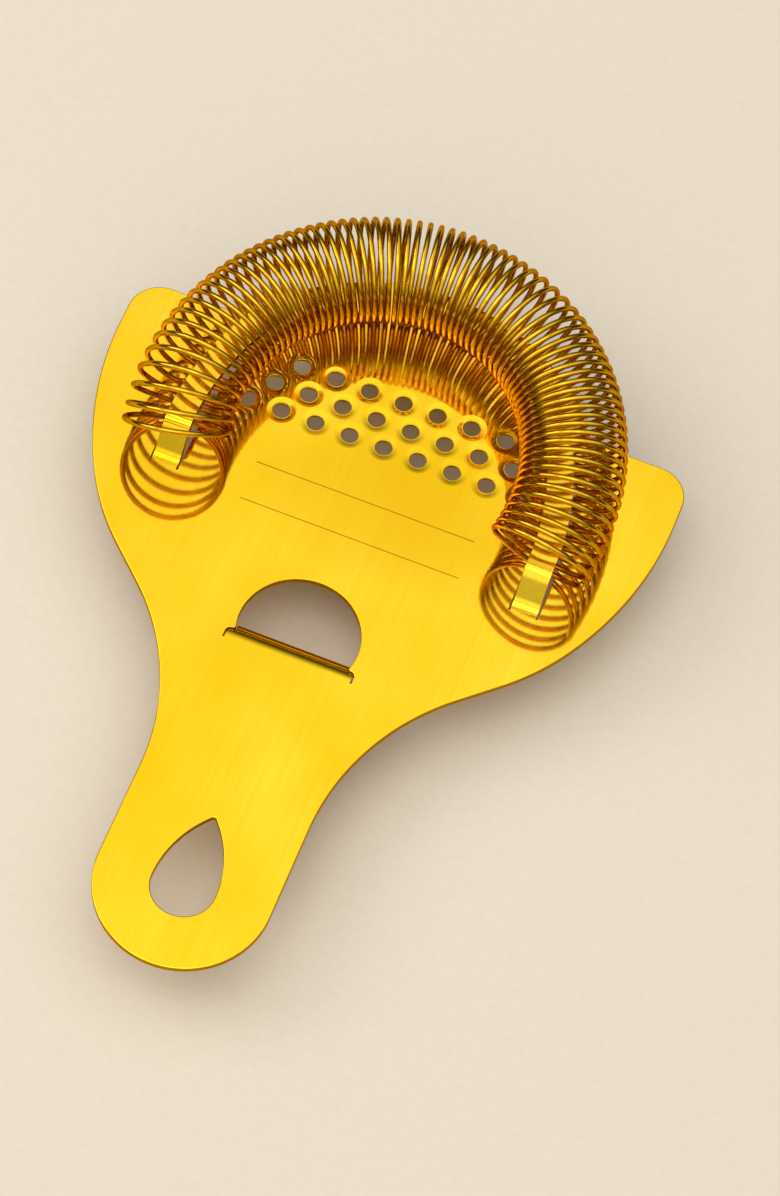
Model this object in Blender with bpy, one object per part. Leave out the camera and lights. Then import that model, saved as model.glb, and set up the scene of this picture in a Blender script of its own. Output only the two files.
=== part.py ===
"""Hawthorne strainer: a stamped and bent sheet-metal plate, and the coil spring on its prongs.

Run with: blender --background --python part.py

Frame: the plate lies flat with the coil on top. +Z is up, out of the coil side of the plate,
+Y runs from the handle to the front of the head, and +X is to the right. The origin is the
centre of the head's front arc, on the underside of the plate. Lengths are in metres.
"""

from math import atan2, cos, pi, radians, sin, sqrt

import bmesh
import bpy
import numpy as np
from mathutils import Vector
from mathutils.geometry import delaunay_2d_cdt

MM = 0.001

# Sheet and head
SHEET = 1.2 * MM                  # thickness of the stamped sheet
FRONT_RADIUS = 39.0 * MM          # front arc of the head, under the coil
EAR_X = 53.0 * MM                 # half the width across the ears
EAR_Y = 20.0 * MM                 # top edge of the ears
EAR_CORNER = 6.0 * MM
EAR_FILLET = 5.0 * MM             # hollow where an ear meets the front arc
EAR_SIDE = 4.0 * MM               # straight side under the ear's corner
SHOULDER_RADIUS = 64.0 * MM
SHOULDER_TURN = 30.0              # degrees
HIP_RADIUS = 47.0 * MM
HIP_TURN = 17.0                   # degrees
NECK_RADIUS = 45.0 * MM           # hollow from the head into the handle

# Handle
HANDLE_HALF = 15.4 * MM           # half width, and radius of the round end
HANDLE_END_Y = -89.0 * MM         # centre of the round end

# Teardrop hanging hole
TEAR_RADIUS = 5.6 * MM
TEAR_Y = -89.3 * MM
TEAR_SIDE_RADIUS = 20.1 * MM

# Perforations, in rows from the handle side to the front
HOLE_RADIUS = 1.55 * MM
HOLE_PITCH = 6.5 * MM
ROW_PITCH = 5.05 * MM
FIRST_ROW_Y = 4.0 * MM
ROW_COUNTS = (9, 8, 7)

# Finger tab: the D-shaped flap that is cut free and folded down
TAB_RADIUS = 10.75 * MM           # round end, to the middle of the cut
TAB_CENTRE_Y = -37.2 * MM         # centre of its round end, before folding
TAB_PAST = 15.0                   # degrees that the round end runs on past its widest place
TAB_NOTCH = 0.5 * MM              # hollow where the round end meets a shoulder
TAB_SHOULDER = 0.9 * MM           # corner of the wider part that is folded
TAB_FOLD_Y = -42.4 * MM           # where the fold starts
TAB_FOLD = 90.0                   # degrees, downwards
TAB_FOLD_RADIUS = 3.7 * MM        # middle of the sheet

# Prongs: two tongues that are cut free, bent up and levelled inside the coil
PRONG_X = 34.4 * MM               # middle of the root
LEFT_ROOT_Y = -14.6 * MM          # where each prong starts to bend up
RIGHT_ROOT_Y = -17.8 * MM
PRONG_HALF = 2.55 * MM            # half width, to the middle of the cut
PRONG_TURN = 24.0                 # degrees that a prong curves inwards
PRONG_CURVE = 56.4 * MM           # radius of that curve
PRONG_CORNER = 1.3 * MM
PRONG_RISE = 5.5 * MM             # height of the level part over the plate
PRONG_SLOPE = 52.0                # degrees
PRONG_FOLD_RADIUS = 3.4 * MM      # middle of the sheet

# Cuts around the tab and the prongs
CUT_HALF = 0.15 * MM
RELIEF = 0.2 * MM                 # round relief at each end of a cut

# Coil
WIRE_RADIUS = 0.5 * MM
COIL_RADIUS = 9.1 * MM            # to the middle of the wire
COIL_GAP = 0.3 * MM               # clearance over the plate
COIL_FRONT_Y = 35.0 * MM          # middle of the coil at the front
COIL_LEFT = 66.2 * MM             # from the front to each end, along the middle of the coil
COIL_RIGHT = 67.5 * MM
COIL_SPAN = 65.5 * MM             # length over which the coil makes the next turn
COIL_TURN = 101.0                 # degrees
COIL_FRONT_BEND = 5.0             # extra bend at the front, in degrees
COIL_LEAN = 20.0                  # degrees that the end turns lean back towards the handle
COIL_LEAN_POWER = 1.7             # how quickly that lean fades towards the front
LEFT_END_LEAN = 22.0              # degrees more for the last turns at the left end
LEFT_END_REACH = 7.0 * MM
COIL_PITCH = 1.62 * MM
PITCH_CHANGES = ((0.0 * MM, 1.6 * MM, -1.15 * MM),   # place, width, extra pitch
                 (6.0 * MM, 15.0 * MM, 1.1 * MM),
                 (82.0 * MM, 6.0 * MM, 0.55 * MM),
                 (124.0 * MM, 9.0 * MM, 0.6 * MM),
                 (133.7 * MM, 2.4 * MM, -0.45 * MM))
POINTS_PER_TURN = 12

ARC_STEP = radians(5.0)           # outline arcs
FOLD_STEP = 0.5 * MM              # rows of points across a fold


def clear_scene():
    """Remove every object that the file starts with."""
    for obj in list(bpy.data.objects):
        bpy.data.objects.remove(obj, do_unlink=True)


def metal(name, colour, roughness):
    """One Principled material for gold-plated steel."""
    mat = bpy.data.materials.new(name)
    mat.use_nodes = True
    shader = mat.node_tree.nodes["Principled BSDF"]
    shader.inputs["Base Color"].default_value = (*colour, 1.0)
    shader.inputs["Metallic"].default_value = 1.0
    shader.inputs["Roughness"].default_value = roughness
    return mat


def trace(start, heading, moves, line_step=None):
    """Draw a path like a pen: each move is (length,) straight, or (radius, turn) with left turns positive."""
    x, y = start
    angle = radians(heading)
    points = [(x, y)]
    for move in moves:
        if len(move) == 1:
            count = max(1, round(move[0] / line_step)) if line_step else 1
            for _ in range(count):
                x += move[0] / count * cos(angle)
                y += move[0] / count * sin(angle)
                points.append((x, y))
            continue
        radius, turn = move[0], radians(move[1])
        side = 1.0 if turn > 0 else -1.0
        count = max(2, round(abs(turn) / ARC_STEP))
        for _ in range(count):
            half = turn / count / 2.0
            chord = 2.0 * radius * sin(abs(half))
            x += chord * cos(angle + half)
            y += chord * sin(angle + half)
            angle += side * 2.0 * abs(half)
            points.append((x, y))
    return points


def mirrored(points):
    """The same path on the other side of the Y axis."""
    return [(-x, y) for x, y in points]


def head_and_handle():
    """Outer outline, from the front of the head round the right side to the handle's end, and back."""
    fillet_x = sqrt((FRONT_RADIUS + EAR_FILLET) ** 2 - (EAR_Y + EAR_FILLET) ** 2)
    front_turn = 90.0 - atan2(EAR_Y + EAR_FILLET, fillet_x) * 180.0 / pi
    side_turn = SHOULDER_TURN + HIP_TURN
    hip_drop = HIP_RADIUS * (cos(radians(SHOULDER_TURN)) - cos(radians(side_turn)))
    bends_in = (SHOULDER_RADIUS * (1 - cos(radians(SHOULDER_TURN))) + hip_drop
                + NECK_RADIUS * (1 - cos(radians(side_turn))))
    neck_run = (EAR_X - HANDLE_HALF - bends_in) / sin(radians(side_turn))
    right = trace((0.0, FRONT_RADIUS), 0.0, [
        (FRONT_RADIUS, -front_turn),
        (EAR_FILLET, front_turn),
        (EAR_X - EAR_CORNER - fillet_x,),
        (EAR_CORNER, -90.0),
        (EAR_SIDE,),
        (SHOULDER_RADIUS, -SHOULDER_TURN),
        (HIP_RADIUS, -HIP_TURN),
        (neck_run,),
        (NECK_RADIUS, side_turn),
    ])
    right += trace((HANDLE_HALF, HANDLE_END_Y), -90.0, [(HANDLE_HALF, -90.0)])
    left = mirrored(right)[::-1]
    return right + left[1:-1]


def teardrop():
    """Round at the handle's end, pointed towards the head."""
    side_x = TEAR_SIDE_RADIUS - TEAR_RADIUS
    tip = sqrt(TEAR_SIDE_RADIUS ** 2 - side_x ** 2)
    side_turn = atan2(tip, side_x) * 180.0 / pi
    right = trace((0.0, TEAR_Y + tip), -90.0 + side_turn, [
        (TEAR_SIDE_RADIUS, -side_turn),
        (TEAR_RADIUS, -90.0),
    ])
    return right + mirrored(right)[::-1][1:-1]


def circle(x, y, radius, count=12):
    """A round hole."""
    return [(x + radius * cos(2 * pi * i / count), y + radius * sin(2 * pi * i / count))
            for i in range(count)]


def perforations():
    """Three staggered rows of round holes."""
    holes = []
    for row, count in enumerate(ROW_COUNTS):
        for i in range(count):
            x = (i - (count - 1) / 2.0) * HOLE_PITCH
            holes.append(circle(x, FIRST_ROW_Y + row * ROW_PITCH, HOLE_RADIUS))
    return holes


def cut_around(path):
    """A narrow closed cut that follows a path, with a round relief at each end."""
    pts = np.array(path)
    along = np.gradient(pts, axis=0)
    along /= np.linalg.norm(along, axis=1)[:, None]
    across = np.column_stack((-along[:, 1], along[:, 0]))
    far = pts + across * CUT_HALF
    near = (pts - across * CUT_HALF)[::-1]
    loop = [tuple(p) for p in far]
    loop += relief_arc(pts[-1], along[-1])
    loop += [tuple(p) for p in near]
    loop += relief_arc(pts[0], -along[0])
    return loop


def relief_arc(end, outward):
    """Round end of a cut, from its left side to its right side as it is left."""
    half_mouth = atan2(CUT_HALF, sqrt(RELIEF ** 2 - CUT_HALF ** 2))
    centre = np.array(end) + outward * RELIEF * cos(half_mouth)
    back = atan2(-outward[1], -outward[0])
    count = 10
    sweep = 2 * pi - 2 * half_mouth
    return [(centre[0] + RELIEF * cos(back - half_mouth - sweep * i / count),
             centre[1] + RELIEF * sin(back - half_mouth - sweep * i / count))
            for i in range(1, count)]


def tab_path():
    """Round the finger tab: up one shoulder, over the round end and down the other shoulder."""
    past = radians(TAB_PAST)
    start = (-(TAB_RADIUS + TAB_NOTCH) * cos(past) - TAB_SHOULDER, TAB_FOLD_Y)
    side = (TAB_CENTRE_Y - TAB_RADIUS * sin(past) - TAB_NOTCH * (1 + sin(past))
            - TAB_SHOULDER - TAB_FOLD_Y)
    return trace(start, 90.0, [
        (side,),
        (TAB_SHOULDER, -90.0),
        (TAB_NOTCH, 90.0 + TAB_PAST),
        (TAB_RADIUS, -180.0 - 2 * TAB_PAST),
        (TAB_NOTCH, 90.0 + TAB_PAST),
        (TAB_SHOULDER, -90.0),
        (side,),
    ], FOLD_STEP)


def prong_profile():
    """Lengths along a prong: one fold, the slope between the folds, and both folds and the slope."""
    slope = radians(PRONG_SLOPE)
    fold = PRONG_FOLD_RADIUS * slope
    straight = (PRONG_RISE - 2 * PRONG_FOLD_RADIUS * (1 - cos(slope))) / sin(slope)
    return fold, straight, 2 * fold + straight


def prong_path(root_y):
    """Round a right prong: from its root along its inner edge, round the tip and back."""
    straight = prong_profile()[2]
    start = (PRONG_X - PRONG_HALF, root_y)
    return trace(start, 90.0, [
        (straight,),
        (PRONG_CURVE - PRONG_HALF, PRONG_TURN),
        (PRONG_CORNER, -90.0),
        (2 * (PRONG_HALF - PRONG_CORNER),),
        (PRONG_CORNER, -90.0),
        (PRONG_CURVE + PRONG_HALF, -PRONG_TURN),
        (straight,),
    ], FOLD_STEP)


def fold_rows(x_from, x_to, y_from, y_to):
    """Rows of points across a fold, so that the sheet can turn there."""
    rows = max(2, round((y_to - y_from) / FOLD_STEP))
    columns = max(3, round((x_to - x_from) / (2 * FOLD_STEP)))
    return [(x_from + (x_to - x_from) * i / columns, y_from + (y_to - y_from) * j / rows)
            for j in range(rows + 1) for i in range(columns + 1)]


def folded(s, height, folds):
    """Where a point goes that lies s beyond the first fold and height over the middle of the sheet.

    folds lists (start, radius, degrees): a positive fold turns the sheet up.
    Returns how far the point ends up along the plate, and over the middle of the sheet.
    """
    run, rise, angle, done = 0.0, 0.0, 0.0, 0.0
    for start, radius, turn in folds:
        flat = min(max(s - done, 0.0), start - done)
        run += flat * cos(angle)
        rise += flat * sin(angle)
        done = start
        arc = min(max(s - start, 0.0), radius * abs(radians(turn)))
        step = arc / radius
        side = 1.0 if turn > 0 else -1.0
        run += side * radius * (sin(angle + side * step) - sin(angle))
        rise += side * radius * (cos(angle) - cos(angle + side * step))
        angle += side * step
        done = start + radius * abs(radians(turn))
    rest = max(s - done, 0.0)
    run += rest * cos(angle)
    rise += rest * sin(angle)
    return run - height * sin(angle), rise + height * cos(angle)


def inside(points, loop):
    """Even-odd test of many points against one closed loop."""
    poly = np.array(loop)
    nxt = np.roll(poly, -1, axis=0)
    x, y = points[:, 0:1], points[:, 1:2]
    crosses = (poly[:, 1] > y) != (nxt[:, 1] > y)
    rise = np.where(nxt[:, 1] == poly[:, 1], 1.0, nxt[:, 1] - poly[:, 1])
    at = poly[:, 0] + (y - poly[:, 1]) * (nxt[:, 0] - poly[:, 0]) / rise
    return (np.sum(crosses & (x < at), axis=1) % 2) == 1


def blank(outer, holes, extra):
    """Triangles of the flat sheet: everything inside the outline and outside the holes."""
    verts, edges = [], []
    for loop in [outer] + holes:
        first = len(verts)
        verts += [Vector(p) for p in loop]
        edges += [(first + i, first + (i + 1) % len(loop)) for i in range(len(loop))]
    verts += [Vector(p) for p in extra]
    result = delaunay_2d_cdt(verts, edges, [], 0, 1e-7)
    flat = np.array([tuple(v) for v in result[0]])
    faces = np.array(result[2])
    middles = flat[faces].mean(axis=1)
    keep = inside(middles, outer)
    for loop in holes:
        keep &= ~inside(middles, loop)
    return flat, faces[keep]


def form(bm):
    """Fold the finger tab down and both prongs up."""
    fold, straight, _ = prong_profile()
    tab_folds = [(0.0, TAB_FOLD_RADIUS, -TAB_FOLD)]
    prong_folds = [(0.0, PRONG_FOLD_RADIUS, PRONG_SLOPE),
                   (fold + straight, PRONG_FOLD_RADIUS, -PRONG_SLOPE)]
    flat = np.array([vert.co[:2] for vert in bm.verts])
    for loop, root_y, folds in ((tab_path(), TAB_FOLD_Y, tab_folds),
                                (prong_path(RIGHT_ROOT_Y), RIGHT_ROOT_Y, prong_folds),
                                (mirrored(prong_path(LEFT_ROOT_Y)), LEFT_ROOT_Y, prong_folds)):
        for vert, moves in zip(bm.verts, inside(flat, loop)):
            if moves and vert.co.y > root_y:
                x, y, z = vert.co
                run, rise = folded(y - root_y, z - SHEET / 2, folds)
                vert.co = (x, root_y + run, SHEET / 2 + rise)


def strainer_plate():
    """Head, ears, handle, finger tab and prongs, all pressed from one sheet."""
    fold, straight, _ = prong_profile()
    tab_fold = TAB_FOLD_RADIUS * radians(TAB_FOLD)
    across = TAB_RADIUS - 3 * FOLD_STEP
    extra = fold_rows(-across, across, TAB_FOLD_Y, TAB_FOLD_Y + tab_fold)
    near, far = PRONG_X - PRONG_HALF + FOLD_STEP, PRONG_X + PRONG_HALF - FOLD_STEP
    for y in (0.0, fold + straight):
        extra += fold_rows(near, far, RIGHT_ROOT_Y + y, RIGHT_ROOT_Y + y + fold)
        extra += mirrored(fold_rows(near, far, LEFT_ROOT_Y + y, LEFT_ROOT_Y + y + fold))
    holes = perforations() + [teardrop(), cut_around(tab_path()),
                              cut_around(prong_path(RIGHT_ROOT_Y)),
                              mirrored(cut_around(prong_path(LEFT_ROOT_Y)))]
    flat, faces = blank(head_and_handle(), holes, extra)

    bm = bmesh.new()
    verts = [bm.verts.new((x, y, 0.0)) for x, y in flat]
    for face in faces:
        bm.faces.new([verts[i] for i in face])
    bmesh.ops.delete(bm, geom=[v for v in bm.verts if not v.link_faces], context="VERTS")
    top = bmesh.ops.extrude_face_region(bm, geom=bm.faces[:])["geom"]
    bmesh.ops.translate(bm, verts=[g for g in top if isinstance(g, bmesh.types.BMVert)],
                        vec=(0.0, 0.0, SHEET))
    form(bm)
    bmesh.ops.recalc_face_normals(bm, faces=bm.faces)
    mesh = bpy.data.meshes.new("strainer_plate")
    bm.to_mesh(mesh)
    bm.free()
    mesh.materials.append(metal("plated_sheet", (0.92, 0.62, 0.09), 0.12))
    obj = bpy.data.objects.new("strainer_plate", mesh)
    bpy.context.collection.objects.link(obj)
    return obj


def coil_line(count=2001):
    """Middle of the coil, from its left end over the front to its right end, with its headings."""
    along = np.linspace(-COIL_LEFT, COIL_RIGHT, count)
    share = along / COIL_SPAN
    heading = np.radians(COIL_TURN * share + COIL_FRONT_BEND * np.sin(pi * share))
    step = (COIL_LEFT + COIL_RIGHT) / (count - 1)
    x = np.cumsum(np.cos(heading)) * step
    y = np.cumsum(-np.sin(heading)) * step
    return (x - np.interp(0.0, along, x), y - np.interp(0.0, along, y) + COIL_FRONT_Y,
            heading)


def coil_spring():
    """One wire wound in an open coil, whose turns stand further apart in a few places.

    It starts on the inside of its left end and stops on the outside of its right end.
    """
    x, y, heading = coil_line()
    length = COIL_LEFT + COIL_RIGHT
    place = np.linspace(0.0, length, len(x))
    pitch = np.full(len(x), COIL_PITCH)
    for centre, width, extra in PITCH_CHANGES:
        pitch += extra * np.exp(-((place - centre) / width) ** 2)
    turns = np.concatenate(([0.0], np.cumsum(length / (len(x) - 1) / pitch[1:])))
    count = int((int(turns[-1] - 0.5) + 0.5) * POINTS_PER_TURN)
    wanted = np.arange(count + 1) / POINTS_PER_TURN
    s = np.interp(wanted, turns, place)
    angle = 2 * pi * (wanted + 0.5)
    way = np.interp(s, place, heading)
    share = (s - COIL_LEFT) / COIL_SPAN
    lean = radians(COIL_LEAN) * np.sign(share) * np.abs(share) ** COIL_LEAN_POWER
    lean -= radians(LEFT_END_LEAN) * np.exp(-(s / LEFT_END_REACH) ** 2)
    out = COIL_RADIUS * np.cos(angle)
    onward = COIL_RADIUS * np.sin(angle) * np.sin(lean)
    px = np.interp(s, place, x) + out * np.sin(way) + onward * np.cos(way)
    py = np.interp(s, place, y) + out * np.cos(way) - onward * np.sin(way)
    pz = SHEET + COIL_GAP + WIRE_RADIUS + COIL_RADIUS * np.cos(lean) * (1 + np.sin(angle))

    curve = bpy.data.curves.new("coil_spring", "CURVE")
    curve.dimensions = "3D"
    curve.bevel_depth = WIRE_RADIUS
    curve.bevel_resolution = 0
    curve.use_fill_caps = True
    spline = curve.splines.new("POLY")
    spline.points.add(count)
    spline.points.foreach_set("co", np.column_stack((px, py, pz, np.ones(count + 1))).ravel())
    curve.materials.append(metal("plated_wire", (0.85, 0.52, 0.08), 0.2))
    obj = bpy.data.objects.new("coil_spring", curve)
    bpy.context.collection.objects.link(obj)
    return obj


clear_scene()
strainer_plate()
coil_spring()
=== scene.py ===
from math import acos, atan, atan2, cos, degrees, pi, radians, sin, sqrt

import bpy
import numpy as np
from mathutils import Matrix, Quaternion, Vector
from mathutils.geometry import delaunay_2d_cdt


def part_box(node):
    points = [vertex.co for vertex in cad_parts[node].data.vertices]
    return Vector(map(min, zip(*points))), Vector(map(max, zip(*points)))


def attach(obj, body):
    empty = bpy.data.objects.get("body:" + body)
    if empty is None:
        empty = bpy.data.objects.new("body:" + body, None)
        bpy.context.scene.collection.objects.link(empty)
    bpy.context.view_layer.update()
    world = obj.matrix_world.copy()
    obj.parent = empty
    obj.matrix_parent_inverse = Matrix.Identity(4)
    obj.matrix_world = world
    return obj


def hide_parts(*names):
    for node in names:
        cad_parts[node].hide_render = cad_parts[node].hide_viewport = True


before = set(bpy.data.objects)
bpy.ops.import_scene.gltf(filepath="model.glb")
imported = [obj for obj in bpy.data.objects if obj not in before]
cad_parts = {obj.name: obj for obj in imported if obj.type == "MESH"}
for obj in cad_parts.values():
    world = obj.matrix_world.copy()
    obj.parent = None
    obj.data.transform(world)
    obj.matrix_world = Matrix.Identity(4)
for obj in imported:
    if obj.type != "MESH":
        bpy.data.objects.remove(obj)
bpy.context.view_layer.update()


# ---------------------------------------------------------------------------------------------
# The plate. One sheet of stainless steel, stamped to the outline of the head, ears and handle, with
# its holes punched, a finger tab and two prongs slit free and folded, then brushed and plated in
# gold. Its shape is worked out in millimetres.
# ---------------------------------------------------------------------------------------------

def pen(start, heading, moves, step=0.3):
    """Points and headings along a path of straights (length,) and arcs (radius, turn in degrees).

    On an arc the point is start + side * r * (sin h - sin h0, cos h0 - cos h), where the heading h
    runs evenly from h0 to h0 + turn and side is +1 for a left turn and -1 for a right turn. Points
    lie about a step apart, and an arc has 4 of them at least and 8 to a half turn.
    """
    spots, ways = [np.array([start])], [np.array([radians(heading)])]
    for move in moves:
        x, y = spots[-1][-1]
        h0 = ways[-1][-1]
        if len(move) == 1:
            count = max(1, round(move[0] / step))
            run = np.linspace(0.0, move[0], count + 1)[1:]
            spots.append(np.column_stack((x + run * cos(h0), y + run * sin(h0))))
            ways.append(np.full(count, h0))
            continue
        radius, turn = move[0], radians(move[1])
        count = max(4, round(abs(turn) * max(radius / step, 8.0 / pi)))
        h = h0 + np.linspace(0.0, turn, count + 1)[1:]
        side = np.sign(turn)
        spots.append(np.column_stack((x + side * radius * (np.sin(h) - sin(h0)),
                                      y - side * radius * (np.cos(h) - cos(h0)))))
        ways.append(h)
    return np.concatenate(spots)[:-1], np.concatenate(ways)[:-1]


def flipped(loop):
    """The same loop on the other side of the Y axis, turned round so the metal stays on its right."""
    spots, ways = loop
    return (spots * (-1.0, 1.0))[::-1], -ways[::-1]


def slit(start, heading, moves, half, relief, corner):
    """A narrow closed cut that follows a path, with a round relief at each end.

    The loop runs along the right of the path, round the relief, back along its left and round
    the other relief. An arc's radius changes by half the cut's width, out or in.
    """
    ahead = [m if len(m) == 1 else (m[0] + np.sign(m[1]) * half, m[1]) for m in moves]
    back = [m if len(m) == 1 else (m[0] - np.sign(m[1]) * half, -m[1]) for m in moves[::-1]]
    swing = degrees(acos((half + corner) / (relief + corner)))
    end = [(corner, -swing), (relief, 180.0 + 2 * swing), (corner, -swing)]
    h = radians(heading)
    first = (start[0] + half * sin(h), start[1] - half * cos(h))
    return pen(first, heading, ahead + end + back + end)


MM = 0.001
THICK = 1.2
HEAD_R, EAR_X, EAR_Y, EAR_R, EAR_FILLET = 39.0, 53.0, 20.0, 6.0, 5.0
HANDLE_HALF, HANDLE_END_Y = 15.4, -89.0

fillet_x = sqrt((HEAD_R + EAR_FILLET) ** 2 - (EAR_Y + EAR_FILLET) ** 2)
front = 90.0 - degrees(atan2(EAR_Y + EAR_FILLET, fillet_x))
shoulder, hip, neck = (64.0, 30.0), (47.0, 17.0), 45.0
waist = shoulder[1] + hip[1]
# The straight flank takes up the width, and the handle the length, that the arcs leave over.
arcs_in = (shoulder[0] * (1 - cos(radians(shoulder[1])))
        + hip[0] * (cos(radians(shoulder[1])) - cos(radians(waist)))
        + neck * (1 - cos(radians(waist))))
flank = (EAR_X - HANDLE_HALF - arcs_in) / sin(radians(waist))
ear_side = 4.0
drop = (ear_side + shoulder[0] * sin(radians(shoulder[1]))
        + hip[0] * (sin(radians(waist)) - sin(radians(shoulder[1])))
        + flank * cos(radians(waist)) + neck * sin(radians(waist)))
handle_run = EAR_Y - EAR_R - drop - HANDLE_END_Y
right_side = [(HEAD_R, -front), (EAR_FILLET, front), (EAR_X - EAR_R - fillet_x,), (EAR_R, -90.0),
              (ear_side,), (shoulder[0], -shoulder[1]), (hip[0], -hip[1]), (flank,),
              (neck, waist), (handle_run,), (HANDLE_HALF, -90.0)]
outline = pen((0.0, HEAD_R), 0.0, right_side + right_side[::-1])

TEAR_Y, TEAR_R, TEAR_SIDE_R, TEAR_TIP_R = -89.3, 5.6, 20.1, 0.5
lean = acos((TEAR_SIDE_R - TEAR_R) / (TEAR_SIDE_R - TEAR_TIP_R))
tip_y = TEAR_Y + (TEAR_SIDE_R - TEAR_TIP_R) * sin(lean)
tear_side, tear_tip = (TEAR_SIDE_R, degrees(lean)), (TEAR_TIP_R, 90.0 - degrees(lean))
teardrop = pen((0.0, tip_y + TEAR_TIP_R), 180.0,
               [tear_tip, tear_side, (TEAR_R, 180.0), tear_side, tear_tip], step=0.2)

SLIT = (0.11, 0.16, 0.12)      # half width, radius of the relief at each end, corner before it
TAB_R, TAB_Y, TAB_FOLD_Y, TAB_BEND = 10.75, -37.2, -42.4, 3.7
TAB_PAST, TAB_NOTCH, TAB_SHOULDER = 15.0, 0.5, 0.9
past = radians(TAB_PAST)
tab_rise = TAB_Y - TAB_R * sin(past) - TAB_NOTCH * (1 + sin(past)) - TAB_SHOULDER - TAB_FOLD_Y
tab_path = [(tab_rise,), (TAB_SHOULDER, -90.0), (TAB_NOTCH, 90.0 + TAB_PAST),
            (TAB_R, -180.0 - 2 * TAB_PAST),
            (TAB_NOTCH, 90.0 + TAB_PAST), (TAB_SHOULDER, -90.0), (tab_rise,)]
tab_start = (-(TAB_R + TAB_NOTCH) * cos(past) - TAB_SHOULDER, TAB_FOLD_Y)
tab_slit = slit(tab_start, 90.0, tab_path, *SLIT)

PRONG_X, LEFT_ROOT_Y, RIGHT_ROOT_Y, PRONG_HALF, PRONG_CORNER = 34.4, -14.6, -17.8, 2.55, 1.3
PRONG_CURVE, PRONG_TURN, PRONG_RISE, PRONG_SLOPE, PRONG_BEND = 56.4, 24.0, 5.5, 52.0, 3.4
slope = radians(PRONG_SLOPE)
ramp = (PRONG_RISE - 2 * PRONG_BEND * (1 - cos(slope))) / sin(slope)
prong_straight = 2 * PRONG_BEND * slope + ramp
prong_path = [(prong_straight,), (PRONG_CURVE - PRONG_HALF, PRONG_TURN), (PRONG_CORNER, -90.0),
              (2 * (PRONG_HALF - PRONG_CORNER),), (PRONG_CORNER, -90.0),
              (PRONG_CURVE + PRONG_HALF, -PRONG_TURN), (prong_straight,)]
right_start, left_start = ((PRONG_X - PRONG_HALF, y) for y in (RIGHT_ROOT_Y, LEFT_ROOT_Y))
right_slit, left_slit = (slit(start, 90.0, prong_path, *SLIT) for start in (right_start, left_start))

HOLE_R, HOLE_PITCH, ROW_PITCH, ROW_Y = 1.55, 6.5, 5.05, 4.0
hole_spots = [((i - (count - 1) / 2) * HOLE_PITCH, ROW_Y + row * ROW_PITCH)
              for row, count in enumerate((9, 8, 7)) for i in range(count)]
perforations = [pen((x, y - HOLE_R), 0.0, [(HOLE_R, 360.0)], step=0.23) for x, y in hole_spots]


def rounded(centre, size, start, stop, count=5):
    """Points and outward normals along part of a circle: centre + size * (cos a, sin a)."""
    a = np.radians(np.linspace(start, stop, count))
    out = np.column_stack((np.cos(a), np.sin(a)))
    return np.array(centre) + size * out, out


# The rim of a cut: across the metal, from the top face round its eased edges to the underside.
def eased(ease):
    """A square edge whose two corners are quarter circles."""
    upper = rounded((ease, THICK - ease), ease, 90.0, 180.0)
    lower = rounded((ease, ease), ease, 180.0, 270.0)
    return [np.concatenate(pair) for pair in zip(upper, lower)]


PLAIN_EASE, SLIT_EASE = 0.22, 0.11
plain_rim, slit_rim = eased(PLAIN_EASE), eased(SLIT_EASE)

# The rim of a perforation: the punch draws the metal down in a soft dish before it breaks through,
# and tears the hole a little wider below than above. The dish falls by depth * (1 - reach) ** 1.5,
# where reach runs from 1 at its outer edge down to where the lip begins.
DISH, DISH_DEEP, FLARE, LIP_REACH, DISH_ROWS = 1.35, 0.2, 0.4, 0.09, 10
reach = np.linspace(1.0, LIP_REACH, DISH_ROWS)
fall = DISH_DEEP * (1 - reach) ** 1.5
tilt = 1.5 * DISH_DEEP / DISH * np.sqrt(1 - reach)
tilt_out = np.column_stack((-tilt, np.ones(DISH_ROWS))) / np.sqrt(1 + tilt ** 2)[:, None]
steep = atan(tilt[-1])
lip_r = reach[-1] * DISH / (1 + sin(steep))
lip_z, foot_z = THICK - fall[-1] - lip_r * cos(steep), lip_r * cos(steep) - fall[-1]
splay = degrees(atan2(FLARE, lip_z - foot_z))
lip = rounded((lip_r, lip_z), lip_r, 90.0 - degrees(steep), 180.0 + splay)
foot = rounded((lip_r + FLARE, foot_z), lip_r, 180.0 + splay, 270.0 + degrees(steep))
under = np.column_stack((FLARE + reach * (DISH - FLARE), -fall))
under[:, 0] += (lip_r + FLARE + lip_r * sin(steep) - under[-1, 0]) * (1 - reach) / (1 - reach[-1])
dished_rim = [
    np.concatenate((np.column_stack((reach * DISH, THICK - fall))[:-1], lip[0], foot[0],
                    under[-2::-1])),
    np.concatenate((tilt_out[:-1], lip[1], foot[1], -tilt_out[-2::-1])),
]


def rim(loop, profile):
    """Carries a profile round a loop: point = loop + across * offset, up = height.

    Gives the points and normals as (rows of the profile, points of the loop, 3).
    """
    spots, ways = loop
    across = np.column_stack((np.sin(ways), -np.cos(ways)))
    offsets, normals = profile
    flat = spots[None] + across[None] * offsets[:, 0, None, None]
    up = np.broadcast_to(offsets[:, 1, None, None], (*flat.shape[:2], 1))
    side = across[None] * normals[:, 0, None, None]
    rise = np.broadcast_to(normals[:, 1, None, None], (*flat.shape[:2], 1))
    return np.concatenate((flat, up), axis=2), np.concatenate((side, rise), axis=2)


def band(rows, count, first):
    """Quads of a grid of rows by count points that closes on itself along the count."""
    r, c = np.meshgrid(np.arange(rows - 1), np.arange(count), indexing="ij")
    nxt = (c + 1) % count
    a, b = first + r * count + c, first + r * count + nxt
    return np.stack((a, b, b + count, a + count), axis=2).reshape(-1, 4)


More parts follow.
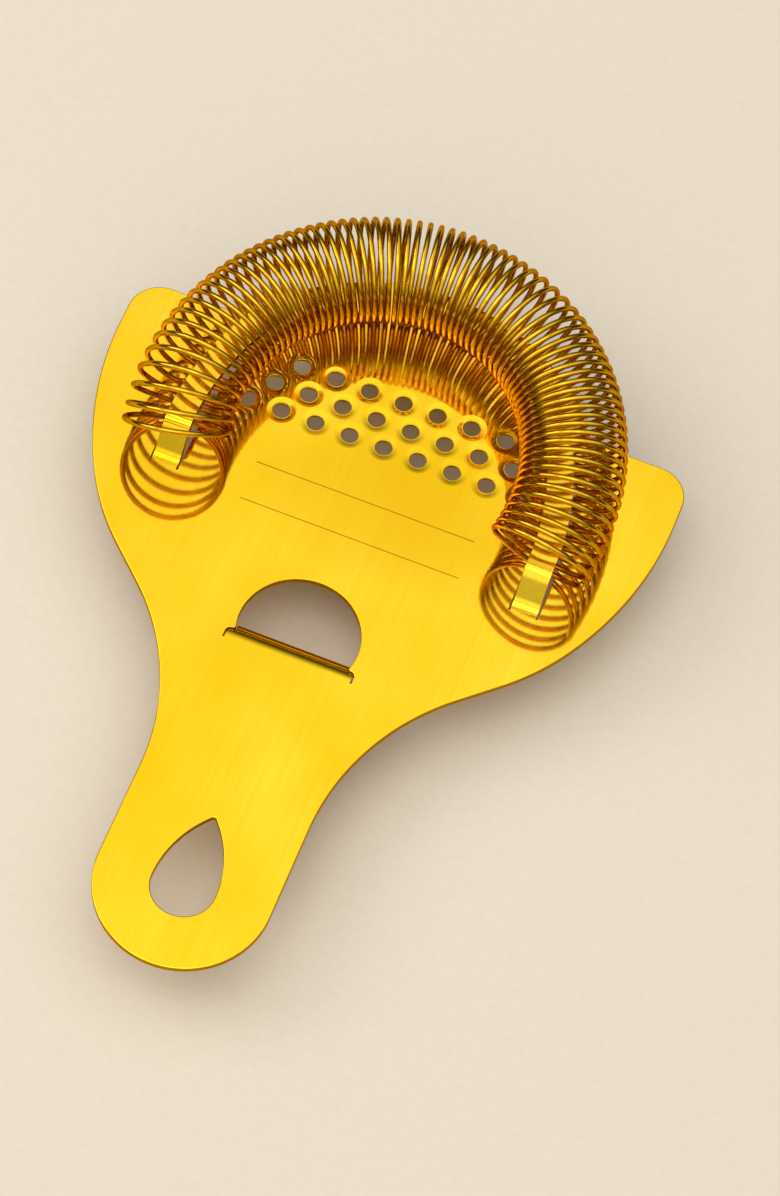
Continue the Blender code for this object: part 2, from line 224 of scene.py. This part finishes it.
def inside(spots, loop):
    """Even-odd test: counts the edges of the loop that lie to the right of each point."""
    nxt = np.roll(loop, -1, axis=0)
    x, y = spots[:, :1], spots[:, 1:2]
    crosses = (loop[:, 1] > y) != (nxt[:, 1] > y)
    rise = np.where(nxt[:, 1] == loop[:, 1], 1.0, nxt[:, 1] - loop[:, 1])
    at = loop[:, 0] + (y - loop[:, 1]) * (nxt[:, 0] - loop[:, 0]) / rise
    return (crosses & (x < at)).sum(axis=1) % 2 == 1


def patch(x0, x1, y0, y1, across, along):
    """Even grid of points over a rectangle."""
    x, y = np.meshgrid(np.linspace(x0, x1, across), np.linspace(y0, y1, along))
    return np.column_stack((x.ravel(), y.ravel()))


# Extra points wherever the sheet is folded, so that a fold comes out round.
TAB_GRID, TAB_INSET, PRONG_GRID, PRONG_REACH = (24, 26), 1.0, (6, 16), 2.0
tab_arc = TAB_BEND * pi / 2
prong_arc = PRONG_BEND * slope
second_bend = prong_arc + ramp
prong_patch = np.concatenate([
    patch(PRONG_X - PRONG_REACH, PRONG_X + PRONG_REACH, y, y + prong_arc, *PRONG_GRID)
    for y in (0.0, second_bend)])
inner_spots = np.concatenate((
    patch(-TAB_R + TAB_INSET, TAB_R - TAB_INSET, TAB_FOLD_Y, TAB_FOLD_Y + tab_arc, *TAB_GRID),
    prong_patch + (0.0, RIGHT_ROOT_Y), prong_patch * (-1.0, 1.0) + (0.0, LEFT_ROOT_Y)))

loops = [outline, teardrop, tab_slit, right_slit, flipped(left_slit)] + perforations
profiles = [plain_rim] * 2 + [slit_rim] * 3 + [dished_rim] * len(perforations)
points, normals, faces, edge_wear = [], [], [], []
top_of, under_of, flat_edges = [], [], []
used = flat_used = 0
for loop, profile in zip(loops, profiles):
    spots, outs = rim(loop, profile)
    rows, count = spots.shape[:2]
    points.append(spots.reshape(-1, 3))
    normals.append(outs.reshape(-1, 3))
    # Steepness of each point, 1 on the walls of the cuts and holes: the material paints shade on
    # those walls with it and makes them rougher.
    edge_wear.append((1.0 - np.abs(outs[..., 2])).ravel())
    faces.append(band(rows, count, used))
    top_of.append(used + np.arange(count))
    under_of.append(used + (rows - 1) * count + np.arange(count))
    ring = flat_used + np.arange(count)
    flat_edges.append(np.column_stack((ring, np.roll(ring, -1))))
    used += rows * count
    flat_used += count
for z, out, spots_of in ((THICK, 1.0, top_of), (0.0, -1.0, under_of)):
    count = len(inner_spots)
    points.append(np.column_stack((inner_spots, np.full(count, z))))
    normals.append(np.tile((0.0, 0.0, out), (count, 1)))
    edge_wear.append(np.zeros(count))
    spots_of.append(used + np.arange(count))
    used += count
points, normals = np.concatenate(points), np.concatenate(normals)
edge_wear = np.concatenate(edge_wear)
top_of, under_of = np.concatenate(top_of), np.concatenate(under_of)

flat = points[top_of, :2]
cut = delaunay_2d_cdt([Vector(p) for p in flat.tolist()], np.concatenate(flat_edges).tolist(),
                      [], 0, 1e-6)
tris = np.array([[cut[3][i][0] for i in face] for face in cut[2]])
middle = flat[tris].mean(axis=1)
rings = np.split(flat, np.cumsum([len(edges) for edges in flat_edges]))[:-1]
metal = inside(middle, rings[0])
for ring in rings[1:]:
    metal &= ~inside(middle, ring)
tris = tris[metal]
faces = [f.tolist() for f in faces] + [top_of[tris].tolist(), under_of[tris][:, ::-1].tolist()]


def bend(spots, outs, moved, root_y, bends):
    """Folds the moved points about lines square to Y, along straights and arcs of the middle layer.

    Along the middle layer a straight adds (cos a, sin a) and an arc adds side * r * (sin a' - sin a,
    cos a - cos a'). A point keeps its height over that layer, and its normal turns by the angle a.
    """
    s = spots[moved, 1] - root_y
    run, rise, angle, done = 0.0 * s, 0.0 * s, 0.0 * s, 0.0
    for start, radius, turn in bends:
        straight = np.clip(s - done, 0.0, start - done)
        run, rise = run + straight * np.cos(angle), rise + straight * np.sin(angle)
        side = np.sign(turn)
        after = angle + side * np.clip(s - start, 0.0, radius * abs(radians(turn))) / radius
        run = run + side * radius * (np.sin(after) - np.sin(angle))
        rise = rise + side * radius * (np.cos(angle) - np.cos(after))
        angle, done = after, start + radius * abs(radians(turn))
    over = np.clip(s - done, 0.0, None)
    run, rise = run + over * np.cos(angle), rise + over * np.sin(angle)
    height = spots[moved, 2] - THICK / 2
    spots[moved, 1] = root_y + run - height * np.sin(angle)
    spots[moved, 2] = THICK / 2 + rise + height * np.cos(angle)
    out_y, out_z = outs[moved, 1].copy(), outs[moved, 2].copy()
    outs[moved, 1] = out_y * np.cos(angle) - out_z * np.sin(angle)
    outs[moved, 2] = out_y * np.sin(angle) + out_z * np.cos(angle)


# The finger tab is folded square down, and each prong is cranked up and levelled again.
blank = points[:, :2].copy()
prong_bends = [(0.0, PRONG_BEND, PRONG_SLOPE), (second_bend, PRONG_BEND, -PRONG_SLOPE)]
for loop, root_y, bends in (
        (pen(tab_start, 90.0, tab_path)[0], TAB_FOLD_Y, [(0.0, TAB_BEND, -90.0)]),
        (pen(right_start, 90.0, prong_path)[0], RIGHT_ROOT_Y, prong_bends),
        (pen(left_start, 90.0, prong_path)[0] * (-1.0, 1.0), LEFT_ROOT_Y, prong_bends)):
    bend(points, normals, inside(blank, loop) & (blank[:, 1] > root_y), root_y, bends)


def solid(name, spots, face_lists, outs, **marks):
    """A mesh in metres from points in millimetres, with exact normals and one value a point for
    each mark."""
    mesh = bpy.data.meshes.new(name)
    mesh.from_pydata((spots * MM).tolist(), [], [f for part in face_lists for f in part])
    mesh.shade_smooth()
    for mark, values in marks.items():
        mesh.attributes.new(mark, "FLOAT", "POINT").data.foreach_set("value", values)
    mesh.normals_split_custom_set_from_vertices(outs.tolist())
    made = bpy.data.objects.new(name, mesh)
    bpy.context.collection.objects.link(made)
    return made


plate = solid("plate_sheet", points, faces, normals, edge_wear=edge_wear)


# The finish: brushed along the handle and then plated in bright gold, so it mirrors softly and each
# brush line catches the light. Two fine lines are engraved across the head.

class Flow:
    """A number that varies over a surface. Sums, products and limits of flows add Math nodes."""

    def __init__(self, paint, socket):
        self.paint, self.socket = paint, socket

    def _math(self, operation, a, b=0.0):
        return self.paint.add("ShaderNodeMath", {"operation": operation}, {0: a, 1: b})

    def __add__(self, other):
        return self._math("ADD", self, other)

    def __sub__(self, other):
        return self._math("SUBTRACT", self, other)

    def __rsub__(self, other):
        return self._math("SUBTRACT", other, self)

    def __mul__(self, other):
        return self._math("MULTIPLY", self, other)

    def __lt__(self, other):
        return self._math("LESS_THAN", self, other)

    def __abs__(self):
        return self._math("ABSOLUTE", self)

    def clipped(self, low, high):
        return self._math("MINIMUM", self._math("MAXIMUM", self, low), high)

    __radd__, __rmul__ = __add__, __mul__


class Paint:
    """A material of one Principled shader, whose other nodes come from add()."""

    def __init__(self, name, **constants):
        self.material = bpy.data.materials.new(name)
        self.material.use_nodes = True
        self.nodes, self.links = self.material.node_tree.nodes, self.material.node_tree.links
        self.shader = self.nodes["Principled BSDF"]
        self.feed(self.shader, {key.replace("_", " "): v for key, v in constants.items()})

    def feed(self, node, inputs):
        for key, value in inputs.items():
            if isinstance(value, Flow):
                self.links.new(value.socket, node.inputs[key])
            else:
                node.inputs[key].default_value = value

    def add(self, kind, settings=(), inputs=(), output=0):
        node = self.nodes.new(kind)
        for key, value in dict(settings).items():
            setattr(node, key, value)
        self.feed(node, dict(inputs))
        return Flow(self, node.outputs[output])

    def mix(self, factor, a, b):
        """Colour a where factor is 0, b where it is 1."""
        return self.add("ShaderNodeMix", {"data_type": "RGBA"}, {0: factor, 6: a, 7: b}, 2)

    def noise(self, where, scale, detail=3.0, rough=0.55):
        """Noise about 0.5, with its grain stretched by a scale for each axis."""
        spot = self.add("ShaderNodeMapping", {}, {"Vector": where, "Scale": scale})
        return self.add("ShaderNodeTexNoise", {}, {"Vector": spot, "Scale": 1.0, "Detail": detail,
                                                   "Roughness": rough})


gold = Paint("brushed_gold_plate", Metallic=1.0, Specular_Tint=(0.85, 0.5, 0.12, 1.0))
place = gold.add("ShaderNodeTexCoord", output="Object")
spread = gold.add("ShaderNodeSeparateXYZ", {}, {0: place})
across, along, depth = (Flow(gold, end) for end in spread.socket.node.outputs)
brush = gold.noise(place, (9000.0, 110.0, 9000.0), 4.0, 0.6)
streak = gold.noise(place, (1500.0, 26.0, 1500.0), 3.0)
cloud = gold.noise(place, (38.0, 30.0, 38.0), 2.0)
smudge = gold.noise(place, (130.0, 90.0, 130.0), 4.0)
wear = gold.add("ShaderNodeAttribute", {"attribute_name": "edge_wear"}, output="Fac")

LINE_YS, LINE_MIDDLE, LINE_HALF, LINE_WIDE = (-0.0078, -0.0158), 0.001, 0.0205, 0.00011
NEAR_TOP = 0.0011
on_top = 1.0 - (depth < NEAR_TOP)
in_run = abs(across - LINE_MIDDLE) < LINE_HALF
engraved = sum((abs(along - y) < LINE_WIDE) for y in LINE_YS) * in_run * on_top

RICH_GOLD, PALE_GLARE_GOLD = (0.80, 0.475, 0.003, 1.0), (1.0, 0.70, 0.045, 1.0)
STREAK_GOLD, SHADE_PATCH_GOLD = (0.80, 0.48, 0.004, 1.0), (0.72, 0.40, 0.002, 1.0)
WALL_SHADE_BROWN, LINE_BROWN = (0.42, 0.20, 0.012, 1.0), (0.40, 0.17, 0.01, 1.0)
SHADE_PATCH_X, SHADE_PATCH_Y, FADE_ACROSS, FADE_ALONG = 0.008, -0.007, 1200.0, 3200.0
POLISH = 0.07
# Painted reflection: a cloudy mix of a rich and a pale gold paints the uneven brightness of the
# plate's mirror finish, with pale glare patches.
base = gold.mix((cloud * 1.6 - 0.3).clipped(0.0, 1.0), RICH_GOLD, PALE_GLARE_GOLD)
base = gold.mix((streak * 0.9 - 0.2).clipped(0.0, 0.5), base, STREAK_GOLD)
# Painted shade: a broad soft darker patch on the head below the holes, standing in for a dimmer part
# of the plate's reflection.
off_x, off_y = across - SHADE_PATCH_X, along - SHADE_PATCH_Y
painted_shade_patch = 1.0 - (off_x * off_x * FADE_ACROSS + off_y * off_y * FADE_ALONG)
base = gold.mix(painted_shade_patch.clipped(0.0, 1.0) * 0.6, base, SHADE_PATCH_GOLD)
# Painted shade: the walls of the cuts and holes are darkened towards brown, standing in for the dark
# shade under the plate that they mirror. The same value also makes them rougher.
base = gold.mix((wear * 0.85).clipped(0.0, 0.85), base, WALL_SHADE_BROWN)
base = gold.mix(engraved * 0.75, base, LINE_BROWN)
rough = POLISH + (brush - 0.5) * 0.06 + (smudge - 0.5) * 0.05 + wear * 0.10 + engraved * 0.3
height = (brush - 0.5) * 0.5 + (streak - 0.5) * 0.55 - engraved * 6.0
fine = gold.add("ShaderNodeBump", {}, {"Strength": 0.5, "Distance": 0.000004, "Height": height})
wavy = gold.add("ShaderNodeBump", {}, {"Strength": 0.6, "Distance": 0.00006,
                                       "Height": cloud + smudge * 0.15, "Normal": fine})
gold.feed(gold.shader, {"Base Color": base, "Roughness": rough.clipped(0.05, 0.6),
                        "Normal": wavy})
plate.data.materials.append(gold.material)
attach(plate, "plate")
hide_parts("strainer_plate")


# ---------------------------------------------------------------------------------------------
# The coil. One gold-plated spring wire, wound in an open coil and pushed over both prongs, so it
# bends round the front of the head. Its turns stand wider apart in some places than in others.
# Worked out in millimetres, with s along the coil's middle line from its left end.
# ---------------------------------------------------------------------------------------------

WIRE_R, COIL_R, COIL_CLEAR = 0.5, 9.1, 0.3
COIL_FRONT_Y, COIL_TURN, COIL_FRONT_BEND = 35.0, 101.0, 5.0
COIL_LEFT, COIL_RIGHT, COIL_SPAN = 66.2, 67.5, 65.5
PITCH, LEAN, LEFT_LEAN, LEFT_REACH = 1.62, 20.0, 22.0, 7.0
PITCH_CHANGES = ((0.0, 1.6, -1.15), (6.0, 15.0, 1.1), (82.0, 6.0, 0.55), (124.0, 9.0, 0.6),
                 (133.7, 2.4, -0.45))
LEAN_POWER, CAP_OUT = 1.7, 0.12
SIDES, STEPS, LINE_BITS = 10, 44, 4000

from_front = np.linspace(-COIL_LEFT, COIL_RIGHT, LINE_BITS + 1)
u = from_front / COIL_SPAN
course = np.radians(COIL_TURN * u + COIL_FRONT_BEND * np.sin(pi * u))
bit = (COIL_LEFT + COIL_RIGHT) / LINE_BITS
line_x, line_y = np.cumsum(np.cos(course)) * bit, -np.cumsum(np.sin(course)) * bit
line_x -= np.interp(0.0, from_front, line_x)
line_y += COIL_FRONT_Y - np.interp(0.0, from_front, line_y)
place_s = from_front + COIL_LEFT
pitch = PITCH + sum(extra * np.exp(-((place_s - at) / wide) ** 2)
                    for at, wide, extra in PITCH_CHANGES)
turn_at = np.concatenate(([0.0], np.cumsum(bit / pitch[1:])))


def tube(line, away, radius, sides):
    """A round wire: line + radius * (side cos v + up sin v), where up is the tangent x side.

    side is the part of away, the direction from the coil's middle line, that is square to the
    tangent, so the tube never spins. Gives points, normals and tangents.
    """
    tangent = np.gradient(line, axis=0)
    tangent /= np.linalg.norm(tangent, axis=1)[:, None]
    side = away - tangent * (away * tangent).sum(axis=1)[:, None]
    side /= np.linalg.norm(side, axis=1)[:, None]
    up = np.cross(tangent, side)
    v = np.linspace(0.0, 2 * pi, sides, endpoint=False)
    out = side[:, None] * np.cos(v)[None, :, None] + up[:, None] * np.sin(v)[None, :, None]
    return line[:, None] + radius * out, out, tangent


# The wire starts on the inside of the left end and stops on the outside of the right end.
whole = int((int(turn_at[-1] - 0.5) + 0.5) * STEPS)
turns = np.arange(whole + 1) / STEPS
s = np.interp(turns, turn_at, place_s)
swing = 2 * pi * (turns + 0.5)
heading_s = np.interp(s, place_s, course)
out_flat = np.column_stack((np.sin(heading_s), np.cos(heading_s), np.zeros(whole + 1)))
share = (s - COIL_LEFT) / COIL_SPAN
lean_s = (np.radians(LEAN) * share * np.abs(share) ** (LEAN_POWER - 1)
          - np.radians(LEFT_LEAN) * np.exp(-(s / LEFT_REACH) ** 2))
onward = np.column_stack((np.cos(heading_s), -np.sin(heading_s), np.zeros(whole + 1)))
upright = onward * np.sin(lean_s)[:, None] + np.array((0.0, 0.0, 1.0)) * np.cos(lean_s)[:, None]
wire_out = out_flat * np.cos(swing)[:, None] + upright * np.sin(swing)[:, None]
middle_z = THICK + COIL_CLEAR + WIRE_R + COIL_R * np.cos(lean_s)
middle = np.column_stack((np.interp(s, place_s, line_x), np.interp(s, place_s, line_y), middle_z))
wire_line = middle + COIL_R * wire_out
wire_spots, wire_outs, wire_way = tube(wire_line, wire_out, WIRE_R, SIDES)
wire_faces = band(whole + 1, SIDES, 0)
ends = np.concatenate((wire_line[:1] - wire_way[:1] * CAP_OUT,
                       wire_line[-1:] + wire_way[-1:] * CAP_OUT))
first_cap, last_cap = len(wire_spots) * SIDES, len(wire_spots) * SIDES + 1
ring = np.arange(SIDES)
caps = [np.column_stack((np.full(SIDES, first_cap), np.roll(ring, -1), ring)),
        np.column_stack((np.full(SIDES, last_cap), first_cap - SIDES + ring,
                         first_cap - SIDES + np.roll(ring, -1)))]
coil_points = np.concatenate((wire_spots.reshape(-1, 3), ends))
coil_normals = np.concatenate((wire_outs.reshape(-1, 3), -wire_way[:1], wire_way[-1:]))
coil = solid("coil_wire", coil_points, [wire_faces.tolist()] + [c.tolist() for c in caps],
             coil_normals)

wire = Paint("bright_gold_wire", Metallic=1.0, Specular_Tint=(0.7, 0.4, 0.08, 1.0))
spot = wire.add("ShaderNodeTexCoord", output="Object")
tone = wire.noise(spot, (60.0, 60.0, 60.0), 2.0)
speck = wire.noise(spot, (900.0, 900.0, 900.0), 3.0)
drawn_line = wire.noise(spot, (5200.0, 5200.0, 1400.0), 2.0)
WIRE_DARK, WIRE_LIGHT = (0.58, 0.335, 0.010, 1.0), (0.72, 0.45, 0.022, 1.0)
WIRE_DULL = (0.42, 0.20, 0.008, 1.0)
wire_base = wire.mix((tone * 1.5 - 0.25).clipped(0.0, 1.0), WIRE_DARK, WIRE_LIGHT)
wire_base = wire.mix((speck * 1.2 - 0.35).clipped(0.0, 0.45), wire_base, WIRE_DULL)
wire_height = wire.add("ShaderNodeBump", {}, {"Strength": 0.35, "Distance": 0.000004,
                                              "Height": drawn_line + speck * 0.6})
wire.feed(wire.shader, {"Base Color": wire_base, "Normal": wire_height,
                        "Roughness": 0.13 + (speck - 0.5) * 0.14 + (tone - 0.5) * 0.08})
coil.data.materials.append(wire.material)
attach(coil, "spring")
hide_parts("coil_spring")


# ---------------------------------------------------------------------------------------------
# The stand. A plain pale paper floor, level with the folded tab's lower edge. The light is a soft
# sky, bright overhead and towards the handle and dark low down, so the gold has something to
# mirror, with two weak panels.
# ---------------------------------------------------------------------------------------------

FLOOR_HALF = 3.0
low_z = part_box("strainer_plate")[0][2]
floor_mesh = bpy.data.meshes.new("floor")
floor_mesh.from_pydata([(x * FLOOR_HALF, y * FLOOR_HALF, low_z)
                        for x, y in ((-1, -1), (1, -1), (1, 1), (-1, 1))], [], [(0, 1, 2, 3)])
floor = bpy.data.objects.new("floor", floor_mesh)
bpy.context.collection.objects.link(floor)
paper = Paint("pale_floor", Roughness=0.9)
fleck = paper.noise(paper.add("ShaderNodeTexCoord", output="Object"), (700.0, 700.0, 700.0), 3.0)
PAPER_DARK, PAPER_LIGHT = (0.65, 0.585, 0.485, 1.0), (0.71, 0.64, 0.53, 1.0)
paper.feed(paper.shader, {"Base Color": paper.mix(fleck, PAPER_DARK, PAPER_LIGHT)})
floor_mesh.materials.append(paper.material)

world = bpy.data.worlds.new("studio")
bpy.context.scene.world = world
world.use_nodes = True
sky, sky_links = world.node_tree.nodes, world.node_tree.links
toward = sky.new("ShaderNodeTexCoord").outputs["Generated"]
tilted = sky.new("ShaderNodeVectorMath")
tilted.operation = "DOT_PRODUCT"
SKY_TOP = (0.0, -0.25, 0.97)
tilted.inputs[1].default_value = SKY_TOP
sky_links.new(toward, tilted.inputs[0])
shading = sky.new("ShaderNodeValToRGB")
sky_links.new(tilted.outputs["Value"], shading.inputs[0])
LOW_SKY = 0.07
SKY_LEVELS = ((0.25, 0.10), (0.42, 0.40), (0.56, 0.84), (0.68, 1.16), (0.82, 1.4), (1.0, 1.2))
shades = shading.color_ramp.elements
shades.remove(shades[1])
for height_at, level in SKY_LEVELS:
    shades.new(height_at).color = (level, level * 0.98, level * 0.94, 1.0)
shades[0].position = 0.0
shades[0].color = (LOW_SKY, LOW_SKY, LOW_SKY, 1.0)
sky_links.new(shading.outputs["Color"], sky["Background"].inputs["Color"])
sky["Background"].inputs["Strength"].default_value = 1.0


def panel(name, azimuth, elevation, distance, size, watts):
    """A flat light panel that faces the strainer from an azimuth and elevation in degrees."""
    lamp = bpy.data.lights.new(name, "AREA")
    lamp.shape, lamp.size, lamp.size_y, lamp.energy = "RECTANGLE", size[0], size[1], watts
    lamp.color = (1.0, 0.97, 0.92)
    made = bpy.data.objects.new(name, lamp)
    a, e = radians(azimuth), radians(elevation)
    made.location = Vector((sin(a) * cos(e), cos(a) * cos(e), sin(e))) * distance
    made.rotation_euler = made.location.to_track_quat("Z", "Y").to_euler()
    bpy.context.collection.objects.link(made)


panel("overhead", 190.0, 75.0, 1.0, (0.7, 0.5), 2.0)
panel("window", -95.0, 40.0, 1.2, (0.8, 0.6), 3.0)


# ---------------------------------------------------------------------------------------------
# The camera, high over the handle and a little to the right, with a long lens.
# ---------------------------------------------------------------------------------------------

AIM = Vector((0.01198, -0.02428, 0.0012))
AZIMUTH, ELEVATION, ROLL, AWAY = 12.84, 60.0, -9.26, 0.694
SENSOR, LENS = 36.0, 120.4
a, e = radians(AZIMUTH), radians(ELEVATION)
look = Vector((-sin(a) * cos(e), cos(a) * cos(e), -sin(e)))
camera = bpy.data.objects.new("camera", bpy.data.cameras.new("camera"))
camera.data.sensor_width = SENSOR
camera.data.lens = LENS
camera.location = AIM - look * AWAY
camera.rotation_mode = "QUATERNION"
camera.rotation_quaternion = Quaternion(look, radians(ROLL)) @ look.to_track_quat("-Z", "Y")
bpy.context.collection.objects.link(camera)
bpy.context.scene.camera = camera
bpy.context.scene.view_settings.view_transform = "Standard"
